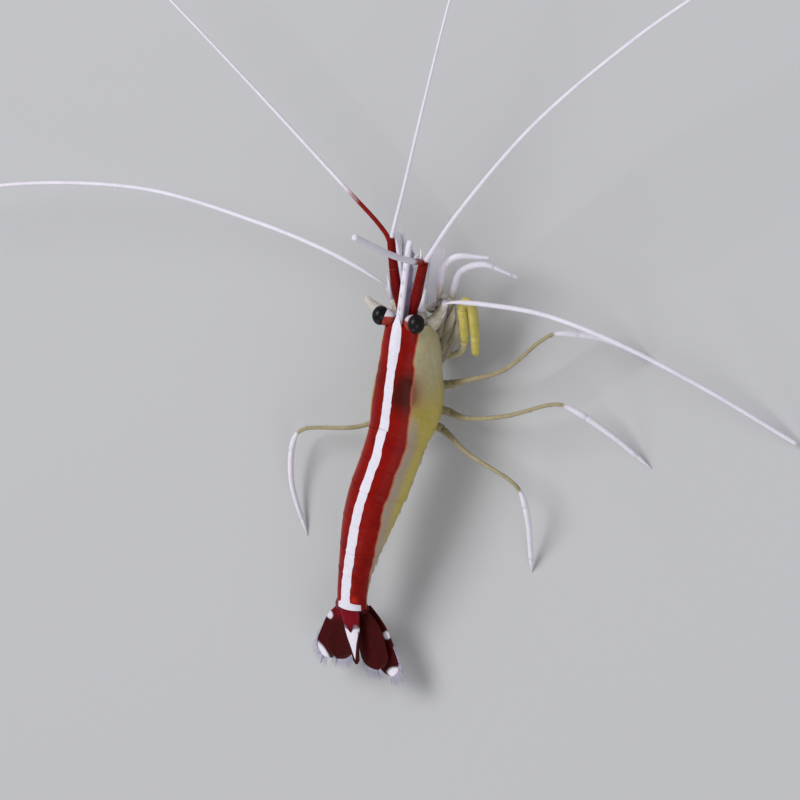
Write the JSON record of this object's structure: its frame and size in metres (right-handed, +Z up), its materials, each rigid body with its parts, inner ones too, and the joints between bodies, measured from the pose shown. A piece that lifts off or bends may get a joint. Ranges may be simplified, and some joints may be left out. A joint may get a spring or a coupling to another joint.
{
  "type": "cleaner shrimp",
  "caption": "Life-size still model of a cleaner shrimp standing on its walking legs, with a red back, a white stripe, long white feelers and a spotted tail fan.",
  "frame": {"origin": "middle of the model's box seen from above, on the floor that the leg tips rest on", "axes": "+Y towards the shrimp's head, +X towards its own right side, +Z up"},
  "size_m": [0.1216, 0.097, 0.0471],
  "materials": {
    "shell_red": "smooth satin shell, red with a white stripe and yellow flanks",
    "stem_red": "satin, dark red",
    "shell_white": "satin, white",
    "flank_yellow": "satin, translucent yellow",
    "clear_shell": "smooth, translucent, nearly clear",
    "eye_black": "polished, black",
    "tail_red": "satin, dark red with white spots"
  },
  "bodies": {
    "root": {"carapace": "shell_red", "abdomen_1": "shell_red", "abdomen_2": "shell_red", "abdomen_3": "shell_red", "abdomen_4": "shell_red", "abdomen_5": "shell_red", "abdomen_6": "shell_red", "telson": "shell_red", "antennule_stem_right": "stem_red", "antennule_stem_left": "stem_red", "rostrum": "shell_white", "antennule_left_outer": "shell_white", "antennule_left_inner": "shell_white", "antennule_right_inner": "shell_white", "antennule_right_outer": "shell_white", "antenna_left": "shell_white", "antenna_right": "shell_white", "maxilliped_right": "shell_white", "maxilliped_left": "shell_white", "leg_1_right": "shell_white", "leg_1_left": "shell_white", "leg_3_right": "shell_white", "leg_4_right": "shell_white", "leg_5_right": "shell_white", "leg_3_left": "shell_white", "leg_4_left": "shell_white", "leg_5_left": "shell_white", "head_front": "flank_yellow", "leg_2_right": "flank_yellow", "leg_2_left": "flank_yellow", "eyestalk_right": "clear_shell", "eyestalk_left": "clear_shell", "antennal_scale_right": "clear_shell", "antennal_scale_left": "clear_shell", "antenna_stem_right": "clear_shell", "antenna_stem_left": "clear_shell", "swimmeret_1_right": "clear_shell", "swimmeret_1_left": "clear_shell", "swimmeret_2_right": "clear_shell", "swimmeret_2_left": "clear_shell", "swimmeret_3_right": "clear_shell", "swimmeret_3_left": "clear_shell", "swimmeret_4_right": "clear_shell", "swimmeret_4_left": "clear_shell", "swimmeret_5_right": "clear_shell", "swimmeret_5_left": "clear_shell", "eye_right": "eye_black", "eye_left": "eye_black", "uropod_inner_right": "tail_red", "uropod_outer_right": "tail_red", "uropod_inner_left": "tail_red", "uropod_outer_left": "tail_red"}
  },
  "joints": []
}
